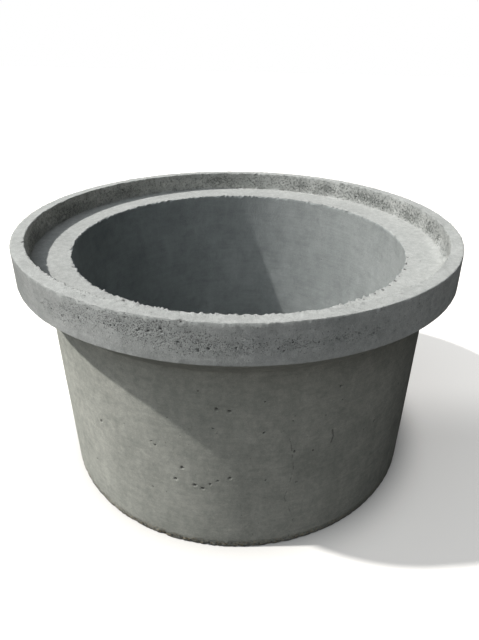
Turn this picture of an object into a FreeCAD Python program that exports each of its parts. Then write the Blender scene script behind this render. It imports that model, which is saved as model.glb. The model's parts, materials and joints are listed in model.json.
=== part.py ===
"""Short concrete drain pipe with a spigot and a socket, standing on its spigot end.

The pipe is one casting: a round barrel, a thickened socket at the top, a sloping haunch where the
socket's underside runs back into the barrel, and inside the socket a flat shoulder on which the next
pipe's spigot seats. Millimetres, +Z up along the pipe's axis, origin at the centre of the lower end.
"""

import FreeCAD
import Part
import Sketcher
import os

# alias, value in millimetres, what it is
DIMENSIONS = [
    ("bore_radius", 500, "inside radius of the waterway"),
    ("barrel_radius", 575, "outside radius of the barrel, which is also the spigot"),
    ("socket_mouth_radius", 610, "inside radius of the socket"),
    ("rim_radius", 645, "outside radius of the socket at its rim"),
    ("skirt_radius", 647.5, "outside radius at the socket's lower edge, larger by the mould's draft"),
    ("total_height", 750, "spigot end to socket rim"),
    ("socket_depth", 65, "rim down to the shoulder"),
    ("socket_height", 98, "rim down to the socket's lower edge"),
    ("haunch_drop", 67, "fall of the sloping underside from that edge to the barrel"),
    ("rim_round", 4, "radius on the rim's outer edge"),
    ("shoulder_round", 5, "radius in the corner between shoulder and socket wall"),
    ("arris_chamfer", 3, "chamfer on the spigot end's two edges"),
]


def add_dimensions(doc):
    """Spreadsheet of the driving dimensions, one alias a row."""
    sheet = doc.addObject("Spreadsheet::Sheet", "Dimensions")
    for row, (alias, value, meaning) in enumerate(DIMENSIONS, start=1):
        sheet.set(f"A{row}", meaning)
        sheet.set(f"B{row}", str(value))
        sheet.setAlias(f"B{row}", alias)
    doc.recompute()
    return sheet


def origin_feature(body, role):
    """One of the body's own origin planes or axes, found by its Role."""
    return next(f for f in body.Origin.OriginFeatures if f.Role == role)


def corners(sheet):
    """Half section of the casting as (radius, height) corners, anticlockwise from the bore's foot."""
    bore = sheet.bore_radius
    barrel = sheet.barrel_radius
    mouth = sheet.socket_mouth_radius
    rim = sheet.total_height
    shoulder = rim - sheet.socket_depth
    skirt = rim - sheet.socket_height
    haunch_foot = skirt - sheet.haunch_drop
    return [
        (bore, 0),
        (barrel, 0),
        (barrel, haunch_foot),
        (sheet.skirt_radius, skirt),
        (sheet.rim_radius, rim),
        (mouth, rim),
        (mouth, shoulder),
        (bore, shoulder),
    ]


def add_half_section(body, sheet):
    """Closed profile on the XZ plane, every radius and height bound to the spreadsheet."""
    sketch = body.newObject("Sketcher::SketchObject", "HalfSection")
    sketch.AttachmentSupport = [(origin_feature(body, "XZ_Plane"), "")]
    sketch.MapMode = "FlatFace"

    points = [FreeCAD.Vector(radius, height, 0) for radius, height in corners(sheet)]
    count = len(points)
    for i in range(count):
        sketch.addGeometry(Part.LineSegment(points[i], points[(i + 1) % count]), False)
    for i in range(count):
        sketch.addConstraint(Sketcher.Constraint("Coincident", i, 2, (i + 1) % count, 1))

    spigot_end, barrel, haunch, socket, rim, mouth, shoulder, bore = range(count)
    for line in (spigot_end, rim, shoulder):
        sketch.addConstraint(Sketcher.Constraint("Horizontal", line))
    for line in (barrel, mouth, bore):
        sketch.addConstraint(Sketcher.Constraint("Vertical", line))
    origin = (-1, 1)
    sketch.addConstraint(Sketcher.Constraint("DistanceY", *origin, spigot_end, 1, 0))

    # constraint kind, first point, second point, expression that drives it
    driven = [
        ("DistanceX", origin, (spigot_end, 1), "bore_radius"),
        ("DistanceX", origin, (spigot_end, 2), "barrel_radius"),
        ("DistanceX", origin, (socket, 1), "skirt_radius"),
        ("DistanceX", origin, (socket, 2), "rim_radius"),
        ("DistanceX", origin, (mouth, 1), "socket_mouth_radius"),
        ("DistanceY", origin, (rim, 1), "total_height"),
        ("DistanceY", (mouth, 2), (mouth, 1), "socket_depth"),
        ("DistanceY", (socket, 1), (socket, 2), "socket_height"),
        ("DistanceY", (haunch, 1), (haunch, 2), "haunch_drop"),
    ]
    for kind, first, second, alias in driven:
        value = getattr(sheet, alias)
        index = sketch.addConstraint(Sketcher.Constraint(kind, *first, *second, value))
        sketch.setExpression(f"Constraints[{index}]", f"Dimensions.{alias}")
    return sketch


def edges_at(shape, *places):
    """Names of the full-circle edges at the given (radius, height) places."""
    names = []
    for index, edge in enumerate(shape.Edges, start=1):
        curve = edge.Curve
        if not isinstance(curve, Part.Circle):
            continue
        for radius, height in places:
            if abs(curve.Radius - radius) < 0.01 and abs(curve.Center.z - height) < 0.01:
                names.append(f"Edge{index}")
    return names


def dress_edge(body, kind, name, size_property, alias, base, places):
    """Fillet or chamfer on the circular edges at the places, its size bound to the spreadsheet."""
    names = edges_at(base.Shape, *places)
    if len(names) != len(places):
        raise RuntimeError(f"{name}: found {len(names)} of {len(places)} edges")
    feature = body.newObject(kind, name)
    feature.Base = (base, names)
    feature.setExpression(size_property, f"Dimensions.{alias}")
    return feature


def add_pipe(doc, sheet):
    """The whole casting: half section turned about the axis, then its rounded and chamfered edges."""
    body = doc.addObject("PartDesign::Body", "Pipe")
    body.Label = "pipe"
    sketch = add_half_section(body, sheet)
    doc.recompute()

    turned = body.newObject("PartDesign::Revolution", "Casting")
    turned.Profile = sketch
    turned.ReferenceAxis = (origin_feature(body, "Z_Axis"), [""])
    turned.Angle = 360
    doc.recompute()

    rim = sheet.total_height
    shoulder = rim - sheet.socket_depth
    rim_edge = [(sheet.rim_radius, rim)]
    rounded_rim = dress_edge(
        body, "PartDesign::Fillet", "RimRound", "Radius", "rim_round", turned, rim_edge
    )
    doc.recompute()
    root_edge = [(sheet.socket_mouth_radius, shoulder)]
    rounded_root = dress_edge(
        body, "PartDesign::Fillet", "ShoulderRound", "Radius", "shoulder_round", rounded_rim, root_edge
    )
    doc.recompute()
    end_edges = [(sheet.bore_radius, 0), (sheet.barrel_radius, 0)]
    dress_edge(
        body, "PartDesign::Chamfer", "SpigotArris", "Size", "arris_chamfer", rounded_root, end_edges
    )
    body.Placement = FreeCAD.Placement()
    doc.recompute()
    return body


def check_document(doc, parts):
    """Stops if any object failed, or if a part isn't one valid closed solid."""
    for item in doc.Objects:
        if {"Invalid", "Error"} & set(item.State):
            raise RuntimeError(f"{item.Name} failed: {item.State}")
    for part in parts:
        shape = part.Shape
        if shape.isNull() or not shape.isValid() or len(shape.Solids) != 1:
            raise RuntimeError(f"{part.Label} is not one valid solid")
        print(part.Label, "volume in litres:", round(shape.Volume / 1e6, 2))


def main():
    doc = FreeCAD.newDocument("SpigotAndSocketPipe")
    sheet = add_dimensions(doc)
    parts = [add_pipe(doc, sheet)]
    check_document(doc, parts)
    os.makedirs("parts", exist_ok=True)
    for part in parts:
        part.Shape.exportStep(os.path.join("parts", f"{part.Label}.step"))


main()
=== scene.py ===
"""Short concrete drain pipe with a spigot and a socket: its cast surface, its concrete and the stage.

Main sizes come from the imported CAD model. One closed casting replaces the plain CAD solid and carries
what the mould and the trowel left: worn arrises, bug holes, honeycombing, mortar fringe and chips.
Metres throughout; angles go round the axis from +X, so -90 degrees is the front and 180 the left.
"""

import json
import math
import random

import bpy
import numpy as np
from mathutils import Matrix, Vector, kdtree, noise


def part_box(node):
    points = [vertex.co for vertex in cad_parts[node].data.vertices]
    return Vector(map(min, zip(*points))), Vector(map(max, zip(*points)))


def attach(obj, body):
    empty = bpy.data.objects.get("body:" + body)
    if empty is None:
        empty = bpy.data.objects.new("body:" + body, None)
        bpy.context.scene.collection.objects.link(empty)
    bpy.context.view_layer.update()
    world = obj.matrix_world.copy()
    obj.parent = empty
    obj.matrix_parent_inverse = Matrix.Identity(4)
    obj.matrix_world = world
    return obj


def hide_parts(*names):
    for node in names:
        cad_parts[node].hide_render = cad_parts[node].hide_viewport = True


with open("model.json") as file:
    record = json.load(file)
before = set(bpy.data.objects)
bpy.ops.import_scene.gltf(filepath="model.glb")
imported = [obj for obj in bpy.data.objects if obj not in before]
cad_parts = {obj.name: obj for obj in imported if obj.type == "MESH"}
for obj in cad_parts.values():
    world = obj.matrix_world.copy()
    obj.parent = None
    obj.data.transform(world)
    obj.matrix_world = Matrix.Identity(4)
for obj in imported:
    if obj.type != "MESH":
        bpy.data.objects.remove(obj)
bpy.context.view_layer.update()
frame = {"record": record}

bl_info = {
    "name": "Spigot and socket concrete pipe",
    "version": (1, 0, 0),
    "blender": (4, 5, 0),
    "location": "3D View > Sidebar > Pipe",
    "description": "Builds the cast pipe with its worn concrete surface, and the floor and light round it",
    "category": "Add Mesh",
}

MOUNTS = {mount["name"]: mount for mount in frame["record"]["mounts"]}
MM = 0.001
SEED = 41


def mount_radius(name):
    """Radius of one of the record's round mounts, in metres."""
    return MOUNTS[name]["dims"]["r_mm"] * MM


def mount_height(name):
    """Height of a mount's point above the spigot end, in metres."""
    return MOUNTS[name]["pos_m"][2]


HAUNCH_FOOT = mount_height("spigot") + MOUNTS["spigot"]["dims"]["length_mm"] * MM / 2


def length(name, description, default):
    """A size property in metres."""
    return bpy.props.FloatProperty(
        name=name, description=description, default=default, min=0.0, unit="LENGTH", precision=4
    )


def colour(name, description, default):
    """A colour property."""
    return bpy.props.FloatVectorProperty(
        name=name, description=description, default=default, min=0.0, max=2.0, size=3, subtype="COLOR"
    )


class PipeSizes(bpy.types.PropertyGroup):
    """Sizes of the casting. Most defaults come from the CAD model's mounts and box."""

    bore_radius: length("Bore radius", "Inside of the waterway", mount_radius("waterway"))
    barrel_radius: length("Barrel radius", "Outside of the barrel and spigot", mount_radius("spigot"))
    mouth_radius: length("Mouth radius", "Inside of the socket", mount_radius("socket"))
    rim_radius: length("Rim radius", "Outside of the socket at its rim", 0.645)
    skirt_radius: length("Skirt radius", "Outside of the socket at its lower edge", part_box("pipe")[1][0])
    rim_height: length("Rim height", "Socket rim above the spigot end", mount_height("rim"))
    shoulder_height: length("Shoulder height", "Ledge inside the socket", mount_height("shoulder"))
    skirt_height: length("Skirt height", "Socket's lower edge above the spigot end", 0.652)
    haunch_foot: length("Haunch foot", "Where the haunch meets the barrel", HAUNCH_FOOT)
    rim_round: length("Rim round", "Worn outer edge of the rim", 0.0025)
    mouth_round: length("Mouth round", "Crumbled inner edge of the rim", 0.003)
    skirt_round: length("Skirt round", "Socket's lower edge", 0.002)
    haunch_round: length("Haunch round", "Soft line where the haunch runs into the barrel", 0.014)
    root_round: length("Root round", "Corner between shoulder and socket wall", 0.003)
    bore_edge_round: length("Bore edge round", "Trowelled edge of the shoulder over the bore", 0.004)
    arris: length("Arris", "Edges of the spigot end", 0.003)


class ConcreteColours(bpy.types.PropertyGroup):
    """Colours of the cast concrete."""

    pale: colour("Pale cement", "Dry laitance on trowelled and rubbed faces", (0.575, 0.575, 0.540))
    mid: colour("Cement", "Formed faces", (0.470, 0.475, 0.445))
    dark: colour("Dark cement", "Blotches in the faces", (0.330, 0.335, 0.315))
    # painted shade: a slight cool tint over the whole bore, for the cool shade inside it
    bore_cool_shade: colour("Bore tint", "Slight coolness of the bore's face", (0.955, 0.985, 1.0))
    # painted shade: a cooler tint on the side of the bore that is darkened
    tone: colour("Tone tint", "Cooler tint on the side of the bore that is toned down", (0.900, 0.970, 1.060))
    stain: colour("Stain", "Dark green-grey in the torn skin inside the socket", (0.180, 0.195, 0.175))
    # also the colour of the painted shade in the holes and along the pipe's foot
    pore: colour("Pore", "Inside bug holes and cracks", (0.060, 0.060, 0.055))
    skin: colour("Barrel tint", "Slight warmth of the barrel's formed skin", (1.0, 0.987, 0.915))
    sand: colour("Sand", "Warm grains where the skin has gone", (0.560, 0.455, 0.290))


class StageSettings(bpy.types.PropertyGroup):
    """Floor and lights."""

    sun_strength: bpy.props.FloatProperty(
        name="Key strength", description="Irradiance of the key light", default=3.5, min=0.0
    )
    sun_elevation: bpy.props.FloatProperty(
        name="Key elevation", description="Height of the key light", default=math.radians(52.7),
        subtype="ANGLE",
    )
    sun_heading: bpy.props.FloatProperty(
        name="Key heading", description="Way the key light travels, from +X", default=math.radians(2.9),
        subtype="ANGLE",
    )
    sun_softness: bpy.props.FloatProperty(
        name="Key softness", description="Angular size of the key light", default=math.radians(1.6),
        subtype="ANGLE",
    )
    bank_strength: bpy.props.FloatProperty(
        name="Bank strength", description="Irradiance of the soft bank", default=0.50, min=0.0
    )
    bank_elevation: bpy.props.FloatProperty(
        name="Bank elevation", description="Height of the soft bank", default=math.radians(30),
        subtype="ANGLE",
    )
    bank_heading: bpy.props.FloatProperty(
        name="Bank heading", description="Way the soft bank's light travels, from +X",
        default=math.radians(53), subtype="ANGLE",
    )
    bank_softness: bpy.props.FloatProperty(
        name="Bank softness", description="Angular size of the soft bank", default=math.radians(75),
        subtype="ANGLE",
    )
    overhead: colour("Overhead", "Soft cool light from above the camera's side", (0.76, 0.84, 0.93))
    behind: colour("Behind", "Soft light on the side away from the camera", (0.34, 0.35, 0.36))
    level: colour("Level", "Faint light from the sides", (0.010, 0.009, 0.008))
    floor: colour("Floor", "Plain pale floor", (0.72, 0.695, 0.655))


# ---------------------------------------------------------------------------------------------
# Half section
# ---------------------------------------------------------------------------------------------

ARC_STEPS = 3


class HalfSection:
    """Closed outline of the wall in (radius, height), with rounded corners and named runs."""

    def __init__(self, corners):
        """corners: (name, radius, height, rounding) anticlockwise, each named for the run leaving it."""
        self.corner_at = {}
        points, normals = [], []
        count = len(corners)
        for i, (name, radius, height, rounding) in enumerate(corners):
            here = np.array((radius, height))
            before = here - np.array(corners[i - 1][1:3])
            after = np.array(corners[(i + 1) % count][1:3]) - here
            before /= np.hypot(*before)
            after /= np.hypot(*after)
            turn = math.atan2(before[0] * after[1] - before[1] * after[0], before @ after)
            side = math.copysign(1.0, turn)
            outward = np.array((before[1], -before[0]))
            start = here - before * rounding * math.tan(abs(turn) / 2)
            centre = start - side * rounding * outward
            self.corner_at[name] = len(points) + ARC_STEPS / 2
            for step in range(ARC_STEPS + 1):
                angle = turn * step / ARC_STEPS
                normal = np.array((
                    outward[0] * math.cos(angle) - outward[1] * math.sin(angle),
                    outward[0] * math.sin(angle) + outward[1] * math.cos(angle),
                ))
                points.append(centre + side * rounding * normal)
                normals.append(normal)
        points.append(points[0])
        normals.append(normals[0])
        points, normals = np.array(points), np.array(normals)
        steps = np.hypot(*np.diff(points, axis=0).T)
        self.along = np.concatenate(([0.0], np.cumsum(steps)))
        self.total = self.along[-1]
        self.points, self.normals = points, normals
        steps = np.arange(len(self.along))
        self.corner_at = {name: np.interp(i, steps, self.along) for name, i in self.corner_at.items()}
        self.names = [corner[0] for corner in corners]

    def at(self, s):
        """Radius, height and outward normal at distances s along the outline."""
        s = np.mod(s, self.total)
        radius = np.interp(s, self.along, self.points[:, 0])
        height = np.interp(s, self.along, self.points[:, 1])
        out = np.interp(s, self.along, self.normals[:, 0])
        up = np.interp(s, self.along, self.normals[:, 1])
        size = np.hypot(out, up)
        return radius, height, out / size, up / size

    def gap(self, s, name):
        """Distance along the outline from s to the named corner."""
        d = np.abs(np.mod(s, self.total) - self.corner_at[name])
        return np.minimum(d, self.total - d)

    def run(self, s):
        """Index of the run each s lies on, counted as the corners are."""
        starts = np.array([self.corner_at[name] for name in self.names])
        index = np.searchsorted(starts, np.mod(s, self.total), side="right") - 1
        return np.where(index < 0, len(starts) - 1, index)

    def loops(self, spacing):
        """Places along the outline for the first rings: every arc point, and long runs divided."""
        places = []
        for a, b in zip(self.along[:-1], self.along[1:]):
            parts = max(1, math.ceil((b - a) / spacing))
            places.extend(a + (b - a) * k / parts for k in range(parts))
        return np.array(places)


def half_section(sizes):
    """The pipe's wall, from the bore's foot round the outside and back down the bore."""
    return HalfSection([
        ("end", sizes.bore_radius, 0.0, sizes.arris),
        ("barrel", sizes.barrel_radius, 0.0, sizes.arris),
        ("haunch", sizes.barrel_radius, sizes.haunch_foot, sizes.haunch_round),
        ("wall", sizes.skirt_radius, sizes.skirt_height, sizes.skirt_round),
        ("rim", sizes.rim_radius, sizes.rim_height, sizes.rim_round),
        ("mouth", sizes.mouth_radius, sizes.rim_height, sizes.mouth_round),
        ("shoulder", sizes.mouth_radius, sizes.shoulder_height, sizes.root_round),
        ("bore", sizes.bore_radius, sizes.shoulder_height, sizes.bore_edge_round),
    ])


# ---------------------------------------------------------------------------------------------
# Bug holes and honeycomb
# ---------------------------------------------------------------------------------------------

# Holes in the barrel that stand out: angle, height, width and depth in mm
BARREL_HOLES = [
    (-127, 335, 9, 4), (-118, 370, 5, 2), (-110, 347, 6, 3), (-109, 338, 7, 3), (-102, 388, 4, 2),
    (-97, 528, 6, 3), (-93, 480, 10, 5), (-90, 475, 9, 6), (-94, 422, 6, 3), (-93, 407, 4, 2),
    (-102, 282, 10, 6), (-104, 238, 9, 5), (-99, 229, 10, 5), (-97, 220, 11, 5), (-95, 238, 7, 4),
    (-93, 251, 8, 4), (-90, 263, 9, 4), (-111, 183, 6, 3), (-107, 181, 5, 3), (-82, 501, 5, 3),
    (-82, 408, 7, 3), (-75, 435, 5, 3), (-74, 336, 9, 5), (-69, 326, 7, 3), (-63, 509, 9, 5),
    (-62, 464, 6, 3), (-49, 336, 8, 4), (-81, 251, 6, 3), (-73, 228, 8, 5), (-87, 127, 7, 1),
    (-86, 84, 6, 1), (-84, 50, 6, 1), (-53, 328, 6, 3), (-100, 362, 5, 3), (-119, 340, 4, 2),
    (-106, 355, 4, 2), (-105, 436, 4, 2), (-77, 407, 4, 2), (-71, 376, 4, 2), (-117, 297, 4, 2),
]

# Honeycombed patches of the socket's outside: angle, height, spread round, spread up, larger holes
WALL_PATCHES = [
    (-129, 704, 16, 8, 4), (-124, 697, 20, 12, 4), (-120, 715, 26, 14, 3), (-111, 725, 34, 12, 7),
    (-106, 720, 26, 12, 7), (-101, 708, 34, 16, 5), (-95, 705, 16, 10, 4), (-91, 694, 22, 8, 5),
    (-85, 700, 18, 8, 3), (-78, 699, 24, 7, 5), (-69, 696, 22, 7, 4), (-62, 693, 14, 6, 2),
    (-50, 722, 12, 8, 1), (160, 700, 60, 20, 5), (100, 705, 90, 20, 7), (20, 705, 80, 20, 6),
]

# The same inside the socket, where the mould's skin tore
MOUTH_PATCHES = [
    (68, 712, 20, 9, 7), (58, 716, 20, 9, 5), (43, 714, 24, 9, 8), (34, 710, 22, 9, 6),
    (19, 710, 28, 11, 8), (6, 708, 20, 9, 5), (-1, 704, 12, 8, 3), (101, 718, 30, 8, 5),
    (140, 716, 36, 10, 6), (165, 712, 60, 12, 7), (-170, 708, 40, 12, 5), (-60, 715, 90, 14, 6),
]

# Knocks and pulled-out grains on the edges: corner, angle, way along the outline, width, depth in mm
EDGE_CHIPS = [
    ("rim", -98, 0, 13, 5), ("mouth", -156, 0, 13, 6), ("mouth", -62, 2, 9, 4), ("mouth", -55, 4, 8, 4),
    ("bore", -14, -4, 9, 6), ("bore", -20, -3, 7, 5), ("bore", -25, -5, 10, 6), ("bore", -31, -4, 9, 6),
    ("bore", -35, -5, 9, 5), ("bore", -39, -5, 10, 6), ("bore", -43, -6, 9, 6), ("bore", -47, -4, 8, 5),
    ("bore", -52, -8, 8, 5), ("bore", -58, -10, 7, 4), ("bore", 60, -3, 7, 4), ("bore", 48, -3, 8, 4),
    ("bore", 75, -3, 7, 4), ("bore", 110, -2, 7, 4), ("bore", 165, -3, 8, 4), ("bore", -150, -4, 8, 4),
    ("bore", -120, -5, 8, 4), ("shoulder", 38, 8, 7, 3), ("shoulder", 47, 30, 7, 3),
    ("shoulder", 23, 9, 6, 3), ("shoulder", -16, 68, 6, 2),
]

# The holes' outlines wander by this much, in metres
WOBBLE = 0.0017
WOBBLES_PER_METRE = 270
# Share of a barrel hole's listed width that is cut
HOLE_NARROWING = 0.85
# Depth in mm at which a hole's painted shade is at its darkest
DARK_DEPTH = 2.2


class Holes:
    """Every modelled hole as (angle, place along the outline, radius, depth)."""

    def __init__(self, section):
        self.section = section
        self.rows = []
        self.random = random.Random(SEED)
        self.barrel_holes()
        self.patches(WALL_PATCHES, self.on_wall)
        self.patches(MOUTH_PATCHES, self.on_mouth)
        self.edge_chips()
        self.scattered()
        self.table = np.array(self.rows)
        self.plant()

    def add(self, degrees, s, width, depth):
        self.rows.append((math.radians(degrees), s, width * MM / 2, depth * MM))

    def on_barrel(self, height):
        """Place along the outline of a height in mm on the barrel."""
        section = self.section
        return section.corner_at["barrel"] + height * MM

    def on_wall(self, height):
        section = self.section
        return section.corner_at["wall"] + height * MM - section.at(section.corner_at["wall"])[1]

    def on_mouth(self, height):
        section = self.section
        return section.corner_at["mouth"] + section.at(section.corner_at["mouth"])[1] - height * MM

    def barrel_holes(self):
        for degrees, height, width, depth in BARREL_HOLES:
            self.add(degrees, self.on_barrel(height), width * HOLE_NARROWING, depth)

    def patches(self, patches, place):
        for degrees, height, spread_round, spread_up, count in patches:
            radius = self.section.at(place(height))[0]
            for _ in range(count):
                turn = math.degrees(self.random.gauss(0, spread_round) * MM / radius)
                rise = self.random.gauss(0, spread_up)
                width = 2.8 + 3.2 * self.random.random() ** 2
                self.add(degrees + turn, place(height + rise), width, width * 0.6)

    def edge_chips(self):
        for corner, degrees, shift, width, depth in EDGE_CHIPS:
            self.add(degrees, self.section.corner_at[corner] + shift * MM, width, depth)

    def scattered(self):
        """Small holes over the rest of the barrel, and a few in the bore."""
        for _ in range(50):
            degrees = self.random.uniform(-40, 230)
            self.add(degrees, self.on_barrel(self.random.uniform(20, 560)), self.random.uniform(4, 8), 3)
        start = self.section.corner_at["bore"]
        for _ in range(12):
            s = start + self.random.uniform(60, 650) * MM
            self.add(self.random.uniform(0, 360), s, self.random.uniform(3, 5), 2)

    def honeycomb(self, theta, s):
        """How honeycombed the socket is at each place, 0 to 1."""
        total = np.zeros(len(s))
        for patches, place in ((WALL_PATCHES, self.on_wall), (MOUTH_PATCHES, self.on_mouth)):
            for degrees, height, spread_round, spread_up, _ in patches:
                centre = place(height)
                round_gap = theta_difference(theta, math.radians(degrees)) * self.section.at(centre)[0]
                total += bell(round_gap, 2 * spread_round * MM) * bell(s - centre, 2 * spread_up * MM)
        return np.clip(total, 0.0, 1.0)

    def plant(self):
        """Tree of the holes' centres, for finding the nearest ones."""
        angle, s, _, _ = self.table.T
        radius, height, _, _ = self.section.at(s)
        self.tree = kdtree.KDTree(len(self.table))
        centres = np.stack((radius * np.cos(angle), radius * np.sin(angle), height), axis=-1)
        for index, centre in enumerate(centres.tolist()):
            self.tree.insert(centre, index)
        self.tree.balance()

    def fineness(self, points):
        """Longest edge that the nearest holes allow at each point."""
        sizes = (self.table[:, 2]).tolist()
        out = []
        for point in points.tolist():
            allowed = 1.0
            for _, index, distance in self.tree.find_n(point, 2):
                radius = sizes[index]
                allowed = min(allowed, radius + GROWTH * max(distance - radius, 0.0))
            out.append(allowed)
        return np.array(out)

    def depth(self, points):
        """How deep the holes go at each point."""
        radii, deeps = self.table[:, 2].tolist(), self.table[:, 3].tolist()
        widest = max(radii)
        out = []
        for point in points.tolist():
            deepest = 0.0
            near = self.tree.find_range(point, widest + WOBBLE)
            if near:
                shifted = Vector(point) + noise.noise_vector(Vector(point) * WOBBLES_PER_METRE) * WOBBLE
                for centre, index, _ in near:
                    inside = 1.0 - ((shifted - centre).length / radii[index]) ** 3
                    deepest = max(deepest, inside * deeps[index])
            out.append(deepest)
        return np.array(out)


# ---------------------------------------------------------------------------------------------
# Mesh of the casting
# ---------------------------------------------------------------------------------------------

SIDES = 144
LOOP_SPACING = 0.05

# Longest edge wanted on each run, in mm
RUN_SIZES = {
    "end": 60, "barrel": 38, "haunch": 30, "wall": 16, "rim": 14, "mouth": 17, "shoulder": 28, "bore": 48,
}
# Longest edge wanted at each corner, in mm, growing away from it
CORNER_SIZES = {
    "barrel": 6.5, "haunch": 24, "wall": 13, "rim": 7, "mouth": 4.6, "shoulder": 14, "bore": 3.6, "end": 40,
}
GROWTH = 0.75
# Longest edge wanted along the crack, in mm
CRACK_SIZE = 2.2


def halfway(a, b, period):
    """Middle of two places on a closed round of that period."""
    return a + (np.mod(b - a + period / 2, period) - period / 2) / 2


class Skin:
    """Triangles over (angle, place along the outline), bisected until they are as fine as wanted."""

    def __init__(self, section, holes):
        self.section, self.holes = section, holes
        loops = section.loops(LOOP_SPACING)
        angles = np.arange(SIDES) * 2 * math.pi / SIDES
        self.theta = np.tile(angles, len(loops))
        self.s = np.repeat(loops, SIDES)
        ring, side = np.meshgrid(np.arange(len(loops)), np.arange(SIDES), indexing="ij")
        next_ring, next_side = (ring + 1) % len(loops), (side + 1) % SIDES
        a, b = ring * SIDES + side, ring * SIDES + next_side
        c, d = next_ring * SIDES + next_side, next_ring * SIDES + side
        self.tris = np.concatenate((
            np.stack((a, b, c), axis=-1).reshape(-1, 3), np.stack((a, c, d), axis=-1).reshape(-1, 3)
        ))

    def places(self):
        radius, height, _, _ = self.section.at(self.s)
        return np.stack((radius * np.cos(self.theta), radius * np.sin(self.theta), height), axis=-1)

    def wanted(self, theta, s):
        """Longest edge allowed at each place."""
        runs = np.array([RUN_SIZES[name] for name in self.section.names]) * MM
        size = runs[self.section.run(s)]
        for name, corner in CORNER_SIZES.items():
            size = np.minimum(size, corner * MM + GROWTH * self.section.gap(s, name))
        radius, height, _, _ = self.section.at(s)
        places = np.stack((radius * np.cos(theta), radius * np.sin(theta), height), axis=-1)
        for line in (CRACK, SCORE):
            size = np.minimum(size, CRACK_SIZE * MM + GROWTH * line_gap(line, theta, height))
        return np.minimum(size, self.holes.fineness(places))

    def refine(self):
        fresh = np.ones(len(self.tris), dtype=bool)
        want = np.zeros(len(self.tris))
        while True:
            xyz = self.places()
            corners = xyz[self.tris]
            sides = np.linalg.norm(np.roll(corners, -1, axis=1) - np.roll(corners, -2, axis=1), axis=2)
            longest = np.argmax(sides, axis=1)
            if fresh.any():
                t = self.tris[fresh]
                mid_t = halfway(self.theta[t[:, 1]], self.theta[t[:, 2]], 2 * math.pi)
                mid_s = halfway(self.s[t[:, 1]], self.s[t[:, 2]], self.section.total)
                mid_t = halfway(mid_t, self.theta[t[:, 0]], 2 * math.pi)
                mid_s = halfway(mid_s, self.s[t[:, 0]], self.section.total)
                want[fresh] = self.wanted(mid_t, mid_s)
            split = sides.max(axis=1) > want
            if not split.any():
                return
            # turn each triangle so that its longest side is opposite its first corner
            order = (longest[:, None] + np.arange(3)) % 3
            tris = np.take_along_axis(self.tris, order, axis=1)
            pairs = np.sort(np.stack((tris[:, [1, 2]], tris[:, [2, 0]], tris[:, [0, 1]]), axis=1), axis=2)
            keys = pairs[..., 0] * len(self.theta) + pairs[..., 1]
            unique, edge = np.unique(keys, return_inverse=True)
            edge = edge.reshape(-1, 3)
            marked = np.zeros(len(unique), dtype=bool)
            marked[edge[split, 0]] = True
            while True:
                pull = marked[edge].any(axis=1) & ~marked[edge[:, 0]]
                if not pull.any():
                    break
                marked[edge[pull, 0]] = True
            number = np.full(len(unique), -1)
            number[marked] = len(self.theta) + np.arange(marked.sum())
            low, high = unique[marked] // len(self.theta), unique[marked] % len(self.theta)
            middle_theta = halfway(self.theta[low], self.theta[high], 2 * math.pi)
            middle_s = np.mod(halfway(self.s[low], self.s[high], self.section.total), self.section.total)
            self.theta = np.concatenate((self.theta, middle_theta))
            self.s = np.concatenate((self.s, middle_s))
            self.tris, want, fresh = self.divide(tris, edge, number, marked, want)

    @staticmethod
    def divide(tris, edge, number, marked, want):
        """Halves each marked triangle, then the halves whose own old side is marked too."""
        whole = ~marked[edge[:, 0]]
        cut = ~whole
        a, b, c = tris[cut].T
        middle = number[edge[cut, 0]]
        parts, wants, news = [tris[whole]], [want[whole]], [np.zeros(whole.sum(), dtype=bool)]
        for far, start, finish in ((2, a, b), (1, c, a)):
            m = number[edge[cut, far]]
            twice = m >= 0
            once = ~twice
            parts.append(np.stack((middle, start, finish), axis=1)[once])
            parts.append(np.stack((middle, start, m), axis=1)[twice])
            parts.append(np.stack((m, finish, middle), axis=1)[twice])
            size = once.sum() + 2 * twice.sum()
            wants.append(np.zeros(size))
            news.append(np.ones(size, dtype=bool))
        return np.concatenate(parts), np.concatenate(wants), np.concatenate(news)


def noise_at(points, per_metre, octaves, seed):
    """Fractal noise, about -1 to 1, at each point, with so many features a metre."""
    offset = Vector((seed * 3.17, seed * 5.71, seed * 2.39))
    return np.array([
        noise.fractal(Vector(p) * per_metre + offset, 0.9, 2.0, octaves) for p in points.tolist()
    ])


def bell(distance, width):
    """1 at no distance, 0.37 at the width and almost nothing at twice the width."""
    return np.exp(-(distance / width) ** 2)


def facing(theta, degrees, spread):
    """1 at the angle, falling off to either side as bell does, with the spread for its width."""
    turn = np.mod(theta - math.radians(degrees) + math.pi, 2 * math.pi) - math.pi
    return bell(turn, math.radians(spread))


# Hairline crack down the front of the barrel and a short score beside it: angle, height in mm
CRACK = [(-74, 15), (-73, 90), (-76, 180), (-75, 215), (-74, 280), (-75, 360), (-76, 395)]
SCORE = [(-64, 335), (-63.5, 355), (-64, 378)]

# Mortar left in the root of the shoulder: its rise and its reach, in mm
MORTAR_RISE = 7
MORTAR_REACH = 18


def line_gap(line, theta, height):
    """Distance to a line down the barrel given by its angles and heights."""
    heights = np.array([h for _, h in line]) * MM
    angles = np.interp(height, heights, np.radians([a for a, _ in line]))
    beyond = np.maximum(np.maximum(height - heights[-1], heights[0] - height), 0.0)
    return np.abs(theta_difference(theta, angles)) * mount_radius("spigot") + beyond


def theta_difference(theta, line):
    return np.mod(theta - line + math.pi, 2 * math.pi) - math.pi


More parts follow.
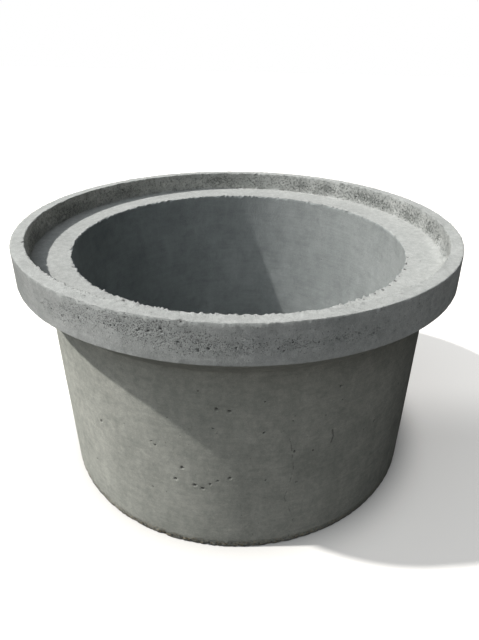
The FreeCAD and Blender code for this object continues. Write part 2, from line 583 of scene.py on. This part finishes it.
def cast_surface(section, holes, skin):
    """Final vertex places, and the masks that the concrete reads."""
    theta, s = skin.theta, skin.s
    radius, height, out, up = section.at(s)
    ideal = skin.places()
    run = section.run(s)
    on = {name: run == index for index, name in enumerate(section.names)}

    broad = noise_at(ideal, 5, 2, 1)
    medium = noise_at(ideal, 38, 3, 2)
    fine = noise_at(ideal, 150, 2, 3)
    rough = on["wall"] * 0.6 + on["mouth"] * 0.9 + on["rim"] * 0.5
    move = 0.8 * broad * ~on["end"] + 0.35 * rough * (medium + fine)

    at_mouth = bell(section.gap(s, "mouth"), 5 * MM)
    at_rim = bell(section.gap(s, "rim"), 3.5 * MM)
    at_bore = bell(section.gap(s, "bore"), 4.5 * MM)
    at_foot = np.clip(2.0 * bell(section.gap(s, "barrel"), 14 * MM), 0, 1)
    at_root = bell(section.gap(s, "shoulder"), 6 * MM)
    at_skirt = bell(section.gap(s, "wall"), 3 * MM)
    front = facing(theta, -95, 60)
    left = facing(theta, 180, 50)
    crumble = noise_at(ideal, 75, 3, 4)
    grit = noise_at(ideal, 150, 2, 5)
    fringe = np.maximum(front, left)

    move += at_mouth * (1.6 * crumble + 2.8 * grit - 0.4 + 1.2 * front)
    move += at_rim * (1.0 * crumble + 0.9 * grit - 0.4)
    move += at_bore * ((1.4 + 1.4 * fringe) * crumble + (4.2 + 2.2 * fringe) * grit + 0.9 * fringe - 0.6)
    move += at_skirt * (0.6 * crumble)
    move += at_root * (1.8 * crumble + 2.4 * grit + 0.5)
    chipped = np.maximum(crumble + 0.15, 0.0) + 0.5 * np.abs(grit)
    move -= at_foot * 5.0 * chipped * (0.3 + 0.7 * facing(theta, -103, 32))

    depth = holes.depth(ideal)
    move -= depth / MM
    # holes are painted darker the deeper they go: painted shade inside them
    pits = np.clip(depth / MM / DARK_DEPTH, 0.0, 1.0)

    crack = 0.85 * bell(line_gap(CRACK, theta, height), 1.1 * MM) * np.clip(0.3 + 2.2 * crumble, 0, 1)
    crack = np.maximum(crack, bell(line_gap(SCORE, theta, height), 2.2 * MM)) * on["barrel"]
    move -= 0.6 * crack

    move = move * MM
    # the spigot end is worn upward only, so nothing goes below the floor
    move = np.where(on["end"], np.minimum(move, 0.0), move)
    # mortar left in the root of the shoulder on the right
    mortar = MORTAR_RISE * MM * bell(section.gap(s, "shoulder"), MORTAR_REACH * MM) * facing(theta, -12, 17)
    mortar *= np.clip(1.0 + 0.8 * medium, 0.3, 1.6)
    radius = radius + move * out - mortar
    height = height + move * up + mortar
    xyz = np.stack((radius * np.cos(theta), radius * np.sin(theta), height), axis=-1)
    xyz[:, 2] = np.maximum(xyz[:, 2], 0.0)

    arris = np.maximum.reduce((at_mouth * 0.7, at_skirt, at_bore * 0.6))
    masks = {
        "pits": pits,
        "crack": crack,
        "arris": arris,
        "torn": np.clip(rough / 0.9, 0, 1),
        "comb": holes.honeycomb(theta, s) * (on["wall"] | on["mouth"]),
        "in_bore": on["bore"].astype(float),
        # darker sides, and a lighter one where negative, that stand in for uneven light
        "painted_light_and_shade": 0.8 * on["bore"] * facing(theta, 175, 75)
        + on["barrel"] * (1.25 * facing(theta, -6, 36) + 0.4 * facing(theta, -75, 25))
        + on["wall"] * (1.0 * facing(theta, -150, 20) - 0.9 * facing(theta, -38, 28)),
        # painted shade: a thin dark line round the bottom edge of the barrel, where it meets the floor
        "painted_foot_shade": bell(section.gap(s, "barrel"), 5 * MM),
        "trowelled": np.clip(on["shoulder"] * 1.0 + on["rim"] * 0.7, 0, 1),
        "mouth_wall": on["mouth"].astype(float),
        "grainy": (on["shoulder"] | on["rim"]) * np.clip(at_mouth + at_bore + at_root + 0.8 * front, 0, 1),
        "foot": at_foot * (0.4 + 0.6 * facing(theta, -103, 32)),
        "on_barrel": (on["barrel"] | on["haunch"]).astype(float),
        "smooth_band": bell(section.gap(s, "wall"), 15 * MM) * on["wall"],
    }
    return xyz, masks


def cast_mesh(sizes):
    """The casting as one closed mesh with its masks as point attributes."""
    section = half_section(sizes)
    holes = Holes(section)
    skin = Skin(section, holes)
    skin.refine()
    xyz, masks = cast_surface(section, holes, skin)
    mesh = bpy.data.meshes.new("cast_pipe")
    mesh.from_pydata(xyz.tolist(), [], skin.tris.tolist())
    for name, values in masks.items():
        layer = mesh.attributes.new(name, "FLOAT", "POINT")
        layer.data.foreach_set("value", values.astype(np.float32))
    mesh.shade_smooth()
    mesh.update()
    return mesh


# ---------------------------------------------------------------------------------------------
# Concrete
# ---------------------------------------------------------------------------------------------


class Mixer:
    """Small helper that adds shader nodes and joins them."""

    def __init__(self, material):
        material.use_nodes = True
        self.tree = material.node_tree
        self.tree.nodes.clear()
        self.here = self.add("ShaderNodeTexCoord").outputs["Object"]

    def add(self, kind, **settings):
        node = self.tree.nodes.new(kind)
        for key, value in settings.items():
            setattr(node, key, value)
        return node

    def join(self, source, socket):
        """Feeds a socket from another socket or a plain value."""
        if isinstance(source, bpy.types.NodeSocket):
            self.tree.links.new(source, socket)
        else:
            socket.default_value = source

    def math(self, operation, a, b=0.0, c=0.0, clamp=False):
        node = self.add("ShaderNodeMath", operation=operation, use_clamp=clamp)
        for source, socket in zip((a, b, c), node.inputs):
            self.join(source, socket)
        return node.outputs[0]

    def stretched(self, x, y, z):
        node = self.add("ShaderNodeMapping")
        self.join(self.here, node.inputs["Vector"])
        node.inputs["Scale"].default_value = (x, y, z)
        return node.outputs["Vector"]

    def noise(self, scale, detail=3.0, roughness=0.55, vector=None, distortion=0.0):
        node = self.add("ShaderNodeTexNoise")
        self.join(self.here if vector is None else vector, node.inputs["Vector"])
        node.inputs["Scale"].default_value = scale
        node.inputs["Detail"].default_value = detail
        node.inputs["Roughness"].default_value = roughness
        node.inputs["Distortion"].default_value = distortion
        return node.outputs["Fac"]

    def cells(self, scale, randomness=1.0, vector=None):
        node = self.add("ShaderNodeTexVoronoi", feature="F1")
        self.join(self.here if vector is None else vector, node.inputs["Vector"])
        node.inputs["Scale"].default_value = scale
        node.inputs["Randomness"].default_value = randomness
        return node.outputs["Distance"]

    def spread(self, value, low, high, to_low=0.0, to_high=1.0):
        node = self.add("ShaderNodeMapRange", interpolation_type="SMOOTHSTEP")
        self.join(value, node.inputs["Value"])
        for socket, number in (
            ("From Min", low), ("From Max", high), ("To Min", to_low), ("To Max", to_high)
        ):
            node.inputs[socket].default_value = number
        return node.outputs["Result"]

    def mask(self, name):
        return self.add("ShaderNodeAttribute", attribute_name=name).outputs["Fac"]

    def blend(self, factor, a, b, kind="MIX"):
        node = self.add("ShaderNodeMix", data_type="RGBA", blend_type=kind)
        self.join(factor, node.inputs[0])
        for source, socket in ((a, node.inputs[6]), (b, node.inputs[7])):
            if isinstance(source, bpy.types.NodeSocket):
                self.tree.links.new(source, socket)
            else:
                socket.default_value = (*source, 1.0)
        return node.outputs[2]

    def grey(self, value):
        """A number as a grey colour."""
        node = self.add("ShaderNodeCombineColor")
        for socket in node.inputs[:3]:
            self.join(value, socket)
        return node.outputs[0]


def pores(mixer, per_metre, size, keep, crowd=0.0):
    """Small round pores: 1 inside, in the share of the surface that keep allows, more where crowded."""
    distance = mixer.cells(per_metre)
    gate = mixer.math("MULTIPLY_ADD", crowd, 0.20, mixer.noise(per_metre * 0.45, 2.0))
    reach = mixer.spread(gate, keep, keep + 0.2, 0.0, size)
    return mixer.spread(mixer.math("SUBTRACT", reach, distance), 0.0, size * 0.5)


def concrete(colours):
    """Cast concrete: cloudy cement, brushed and streaked faces, pores, torn skin and dark holes."""
    material = bpy.data.materials.new("cast_concrete")
    m = Mixer(material)
    pits, crack, arris = m.mask("pits"), m.mask("crack"), m.mask("arris")
    torn, trowelled, in_bore = m.mask("torn"), m.mask("trowelled"), m.mask("in_bore")
    comb, grainy = m.mask("comb"), m.mask("grainy")
    painted_light_and_shade, painted_foot_shade = m.mask("painted_light_and_shade"), m.mask("painted_foot_shade")
    foot, mouth_wall = m.mask("foot"), m.mask("mouth_wall")
    on_barrel, smooth_band = m.mask("on_barrel"), m.mask("smooth_band")
    plain = m.math("SUBTRACT", 1.0, trowelled, clamp=True)

    clouds = m.spread(m.noise(4.5, 5.0, 0.62), 0.32, 0.68)
    blotch = m.spread(m.noise(17.0, 6.0, 0.68, distortion=0.6), 0.40, 0.72)
    speckle = m.noise(420.0, 3.0, 0.7)
    grains = m.noise(1100.0, 2.0, 0.6)
    brushed = m.noise(1.0, 3.0, 0.6, vector=m.stretched(9, 9, 120))
    streaks = m.noise(1.0, 4.0, 0.6, vector=m.stretched(26, 26, 5))

    base = m.blend(clouds, tuple(colours.mid), tuple(colours.pale))
    base = m.blend(m.math("MULTIPLY", blotch, 0.40), base, tuple(colours.dark))
    base = m.blend(m.math("MULTIPLY", trowelled, 0.75), base, tuple(colours.pale))
    grain_shade = m.spread(grains, 0.3, 0.7, -0.07, 0.07)
    shade = m.math("ADD", m.spread(speckle, 0.25, 0.75, 0.85, 1.12), grain_shade)
    shade = m.math("MULTIPLY", shade, m.spread(brushed, 0.3, 0.7, 0.955, 1.035))
    shade = m.math("MULTIPLY", shade, m.spread(streaks, 0.3, 0.7, 0.96, 1.035))
    mottle = m.spread(m.noise(60.0, 6.0, 0.78), 0.3, 0.7, -0.14, 0.12)
    mottle = m.math("MULTIPLY", mottle, m.math("MULTIPLY_ADD", in_bore, -0.65, 1.0))
    shade = m.math("MULTIPLY_ADD", shade, mottle, shade)
    # painted shade: the whole bore is darker, for the shade inside the pipe
    shade = m.math("MULTIPLY", shade, m.math("MULTIPLY_ADD", in_bore, -0.20, 1.0))
    shade = m.math("MULTIPLY", shade, m.math("MULTIPLY_ADD", trowelled, -0.19, 1.0))
    # painted shade darkens the sides that the mask marks, and painted light brightens the socket's right side
    # where the mask is negative
    shade = m.math("MULTIPLY", shade, m.math("MULTIPLY_ADD", painted_light_and_shade, -0.28, 1.0))
    shade = m.math("MULTIPLY", shade, m.math("MULTIPLY_ADD", smooth_band, 0.07, 1.0))
    base = m.blend(1.0, base, m.grey(shade), "MULTIPLY")

    sparse = m.math("MAXIMUM", pores(m, 62.0, 0.20, 0.60), pores(m, 150.0, 0.24, 0.57))
    bare = m.math("MULTIPLY", torn, m.math("SUBTRACT", 1.0, smooth_band, clamp=True))
    dense = m.math("MAXIMUM", pores(m, 330.0, 0.46, 0.50, comb), pores(m, 190.0, 0.40, 0.56, comb))
    dense = m.math("MULTIPLY", dense, bare)
    sparse = m.math("MULTIPLY", sparse, plain)
    gritty = m.math("MULTIPLY", pores(m, 300.0, 0.42, 0.52), grainy)
    small = m.math("MAXIMUM", m.math("MAXIMUM", sparse, dense), gritty)
    ragged = m.math("MULTIPLY_ADD", comb, 0.10, m.noise(130.0, 4.0, 0.7))
    tear = m.math("MULTIPLY", m.spread(ragged, 0.53, 0.64), mouth_wall)
    patchy = m.math("MULTIPLY", m.spread(m.noise(26.0, 4.0, 0.6), 0.40, 0.62), mouth_wall)

    base = m.blend(on_barrel, base, tuple(colours.skin), "MULTIPLY")
    # cool painted shade over the whole bore
    base = m.blend(in_bore, base, tuple(colours.bore_cool_shade), "MULTIPLY")
    # cooler painted shade on the bore's darkened side
    base = m.blend(m.math("MULTIPLY", painted_light_and_shade, in_bore, clamp=True), base, tuple(colours.tone), "MULTIPLY")
    base = m.blend(m.math("MULTIPLY", arris, 0.20), base, tuple(colours.pale))
    base = m.blend(m.math("MULTIPLY", patchy, 0.45), base, tuple(colours.dark))
    base = m.blend(m.math("MULTIPLY", tear, 0.62), base, tuple(colours.stain))
    grit = m.math("MULTIPLY", foot, m.spread(m.noise(120.0, 3.0, 0.7), 0.50, 0.56))
    base = m.blend(grit, base, tuple(colours.sand))
    clumps = m.noise(150.0, 4.0, 0.75, vector=m.stretched(1, 1, 1.6))
    crust = m.math("MULTIPLY", foot, m.spread(clumps, 0.50, 0.56))
    # the crust is the foot's own; the line along the bottom edge is painted shade
    base = m.blend(m.math("MULTIPLY", m.math("MAXIMUM", crust, painted_foot_shade), 0.85), base, tuple(colours.pore))
    base = m.blend(m.math("MULTIPLY", small, 0.75), base, tuple(colours.pore))
    # painted shade in the holes, darker with depth, and the dark of the cracks
    dark = m.math("MAXIMUM", m.math("MULTIPLY", pits, 0.80), m.math("MULTIPLY", crack, 0.65))
    base = m.blend(dark, base, tuple(colours.pore))

    relief = m.math("MULTIPLY", m.noise(700.0, 4.0, 0.7), 0.00050)
    roughened = m.math("MULTIPLY_ADD", bare, 0.0009, 0.00060)
    relief = m.math("MULTIPLY_ADD", m.noise(280.0, 4.0, 0.7), roughened, relief)
    relief = m.math("MULTIPLY_ADD", brushed, 0.00010, relief)
    relief = m.math("MULTIPLY_ADD", crust, -0.003, relief)
    relief = m.math("MULTIPLY_ADD", small, -0.0016, relief)
    relief = m.math("MULTIPLY_ADD", tear, -0.0018, relief)
    bore_waves = m.noise(1.0, 3.0, 0.7, vector=m.stretched(190, 190, 60), distortion=1.2)
    relief = m.math("MULTIPLY_ADD", m.math("MULTIPLY", bore_waves, in_bore), 0.0017, relief)
    crumbs = m.math("MULTIPLY", m.noise(230.0, 3.0, 0.7), grainy)
    relief = m.math("MULTIPLY_ADD", crumbs, 0.0022, relief)
    bump = m.add("ShaderNodeBump")
    bump.inputs["Strength"].default_value = 1.0
    bump.inputs["Distance"].default_value = 1.0
    m.join(relief, bump.inputs["Height"])

    shader = m.add("ShaderNodeBsdfPrincipled")
    m.join(base, shader.inputs["Base Color"])
    m.join(m.spread(speckle, 0.3, 0.7, 0.84, 0.97), shader.inputs["Roughness"])
    m.join(bump.outputs["Normal"], shader.inputs["Normal"])
    shader.inputs["Specular IOR Level"].default_value = 0.25
    output = m.add("ShaderNodeOutputMaterial")
    m.join(shader.outputs["BSDF"], output.inputs["Surface"])
    return material


class PIPE_OT_cast(bpy.types.Operator):
    """Casts the pipe: one closed mesh in place of the CAD solid, in its concrete"""

    bl_idname = "pipe.cast"
    bl_label = "Cast the pipe"

    def execute(self, context):
        scene = context.scene
        piece = bpy.data.objects.new("cast_pipe", cast_mesh(scene.pipe_sizes))
        scene.collection.objects.link(piece)
        piece.data.materials.append(concrete(scene.concrete_colours))
        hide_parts("pipe")
        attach(piece, "root")
        return {"FINISHED"}


# ---------------------------------------------------------------------------------------------
# Stage
# ---------------------------------------------------------------------------------------------

LENS = 27.158
SENSOR_WIDTH = 36.0
CAMERA_PLACE = (0.0591, -1.4357, 1.2073)
CAMERA_FALL = math.radians(27.916)
CAMERA_ROLL = math.radians(1.4289)
CAMERA_SHIFT = (-0.0290, -0.0221)
FLOOR_SIZE = 60.0
FLOOR_GAP = 0.0004
# Light the floor gives the camera, the painted light added to it on the far side that pales the pipe's shadow
# there, and where that comes in
WHITE_LIFT = 0.32
FAR_LIFT = 0.24
FAR_FROM = -0.15
FAR_TO = 0.22
# Grey of the floor for light that bounces off it onto the pipe
FLOOR_BOUNCE = 0.08
# Reach in metres of the soft painted shade on the floor at the pipe's foot
FOOT_SHADE = 0.14
# Middles of the overhead light and of the light behind
OVERHEAD_WAY = (-0.30, -0.32, 0.90)
BEHIND_WAY = (0.30, 0.92, 0.12)
# Cosines from a light's middle between which it comes up to full strength
LOBE_FROM = 0.58
LOBE_TO = 0.98


def add_floor(colour_shown):
    """A plain pale floor that shows near white to the camera and keeps the pipe's shadow."""
    half = FLOOR_SIZE / 2
    mesh = bpy.data.meshes.new("floor")
    corners = [(-half, -half), (half, -half), (half, half), (-half, half)]
    mesh.from_pydata([(x, y, -FLOOR_GAP) for x, y in corners], [], [(0, 1, 2, 3)])
    floor = bpy.data.objects.new("floor", mesh)
    bpy.context.scene.collection.objects.link(floor)
    material = bpy.data.materials.new("pale_floor")
    m = Mixer(material)
    seen = m.add("ShaderNodeBsdfDiffuse")
    seen.inputs["Color"].default_value = (*colour_shown, 1.0)
    lift = m.add("ShaderNodeEmission")
    lift.inputs["Color"].default_value = (1.0, 0.975, 0.94, 1.0)
    # painted shade: the floor's light toward the camera fades near the pipe's foot
    near = m.add("ShaderNodeAmbientOcclusion")
    near.inputs["Distance"].default_value = FOOT_SHADE
    # painted light: more of it on the far side, paling the shadow there
    split = m.add("ShaderNodeSeparateXYZ")
    m.join(m.here, split.inputs[0])
    raised = m.math("ADD", m.spread(split.outputs["Y"], FAR_FROM, FAR_TO, 0.0, FAR_LIFT), WHITE_LIFT)
    m.join(m.math("MULTIPLY", m.spread(near.outputs["AO"], 0.35, 1.0), raised), lift.inputs["Strength"])
    both = m.add("ShaderNodeAddShader")
    m.join(seen.outputs[0], both.inputs[0])
    m.join(lift.outputs[0], both.inputs[1])
    bounce = m.add("ShaderNodeBsdfDiffuse")
    bounce.inputs["Color"].default_value = (FLOOR_BOUNCE, FLOOR_BOUNCE, FLOOR_BOUNCE, 1.0)
    choose = m.add("ShaderNodeMixShader")
    path = m.add("ShaderNodeLightPath")
    m.join(path.outputs["Is Camera Ray"], choose.inputs[0])
    m.join(bounce.outputs[0], choose.inputs[1])
    m.join(both.outputs[0], choose.inputs[2])
    output = m.add("ShaderNodeOutputMaterial")
    m.join(choose.outputs[0], output.inputs["Surface"])
    mesh.materials.append(material)


def add_lamp(name, strength, elevation, heading, softness):
    """A distant lamp whose light travels along the heading and down at the elevation."""
    lamp = bpy.data.lights.new(name, "SUN")
    lamp.energy = strength
    lamp.angle = softness
    lamp_object = bpy.data.objects.new(name, lamp)
    level = math.cos(elevation)
    travel = Vector((level * math.cos(heading), level * math.sin(heading), -math.sin(elevation)))
    lamp_object.rotation_euler = travel.to_track_quat("-Z", "Y").to_euler()
    bpy.context.scene.collection.objects.link(lamp_object)


def add_fill(overhead, behind, level):
    """Soft light from above and behind, faint from the sides, with a white background for the camera."""
    world = bpy.data.worlds.new("fill")
    world.use_nodes = True
    tree = world.node_tree
    tree.nodes.clear()
    way = tree.nodes.new("ShaderNodeTexCoord")
    fill = tree.nodes.new("ShaderNodeBackground")
    shown = None
    for middle, tint in ((BEHIND_WAY, behind), (OVERHEAD_WAY, overhead)):
        near = tree.nodes.new("ShaderNodeVectorMath")
        near.operation = "DOT_PRODUCT"
        near.inputs[1].default_value = Vector(middle).normalized()
        climb = tree.nodes.new("ShaderNodeMapRange")
        climb.interpolation_type = "SMOOTHSTEP"
        climb.inputs["From Min"].default_value = LOBE_FROM
        climb.inputs["From Max"].default_value = LOBE_TO
        mix = tree.nodes.new("ShaderNodeMix")
        mix.data_type = "RGBA"
        mix.inputs[6].default_value = (*level, 1.0)
        mix.inputs[7].default_value = (*tint, 1.0)
        tree.links.new(way.outputs["Generated"], near.inputs[0])
        tree.links.new(near.outputs["Value"], climb.inputs["Value"])
        tree.links.new(climb.outputs["Result"], mix.inputs[0])
        if shown:
            tree.links.new(shown, mix.inputs[6])
        shown = mix.outputs[2]
    tree.links.new(shown, fill.inputs["Color"])
    white = tree.nodes.new("ShaderNodeBackground")
    white.inputs["Color"].default_value = (1.0, 1.0, 1.0, 1.0)
    path = tree.nodes.new("ShaderNodeLightPath")
    choose = tree.nodes.new("ShaderNodeMixShader")
    output = tree.nodes.new("ShaderNodeOutputWorld")
    tree.links.new(path.outputs["Is Camera Ray"], choose.inputs[0])
    tree.links.new(fill.outputs[0], choose.inputs[1])
    tree.links.new(white.outputs[0], choose.inputs[2])
    tree.links.new(choose.outputs[0], output.inputs["Surface"])
    bpy.context.scene.world = world


def add_camera():
    """The camera, a little over a metre up and looking down on the socket."""
    data = bpy.data.cameras.new("camera")
    data.lens = LENS
    data.sensor_width = SENSOR_WIDTH
    data.shift_x, data.shift_y = CAMERA_SHIFT
    camera = bpy.data.objects.new("camera", data)
    camera.matrix_world = (
        Matrix.Translation(CAMERA_PLACE)
        @ Matrix.Rotation(math.pi / 2 - CAMERA_FALL, 4, "X")
        @ Matrix.Rotation(CAMERA_ROLL, 4, "Z")
    )
    bpy.context.scene.collection.objects.link(camera)
    bpy.context.scene.camera = camera


class PIPE_OT_stage(bpy.types.Operator):
    """Sets out the floor, the lights and the camera"""

    bl_idname = "pipe.stage"
    bl_label = "Set the stage"

    def execute(self, context):
        stage = context.scene.pipe_stage
        add_floor(tuple(stage.floor))
        add_lamp("key", stage.sun_strength, stage.sun_elevation, stage.sun_heading, stage.sun_softness)
        add_lamp(
            "bank", stage.bank_strength, stage.bank_elevation, stage.bank_heading, stage.bank_softness
        )
        add_fill(tuple(stage.overhead), tuple(stage.behind), tuple(stage.level))
        add_camera()
        context.scene.view_settings.view_transform = "Standard"
        return {"FINISHED"}


class VIEW3D_PT_pipe(bpy.types.Panel):
    """Sidebar panel with the pipe's steps and settings"""

    bl_label = "Concrete pipe"
    bl_space_type = "VIEW_3D"
    bl_region_type = "UI"
    bl_category = "Pipe"

    def draw(self, context):
        scene = context.scene
        for group in (scene.pipe_sizes, scene.concrete_colours, scene.pipe_stage):
            box = self.layout.box()
            for name in group.__annotations__:
                box.prop(group, name)
        for operator in (PIPE_OT_stage, PIPE_OT_cast):
            self.layout.operator(operator.bl_idname)


CLASSES = (PipeSizes, ConcreteColours, StageSettings, PIPE_OT_cast, PIPE_OT_stage, VIEW3D_PT_pipe)


def register():
    for cls in CLASSES:
        bpy.utils.register_class(cls)
    bpy.types.Scene.pipe_sizes = bpy.props.PointerProperty(type=PipeSizes)
    bpy.types.Scene.concrete_colours = bpy.props.PointerProperty(type=ConcreteColours)
    bpy.types.Scene.pipe_stage = bpy.props.PointerProperty(type=StageSettings)


def unregister():
    del bpy.types.Scene.pipe_stage
    del bpy.types.Scene.concrete_colours
    del bpy.types.Scene.pipe_sizes
    for cls in reversed(CLASSES):
        bpy.utils.unregister_class(cls)


def main():
    register()
    bpy.ops.pipe.stage()
    bpy.ops.pipe.cast()


if __name__ == "__main__":
    main()
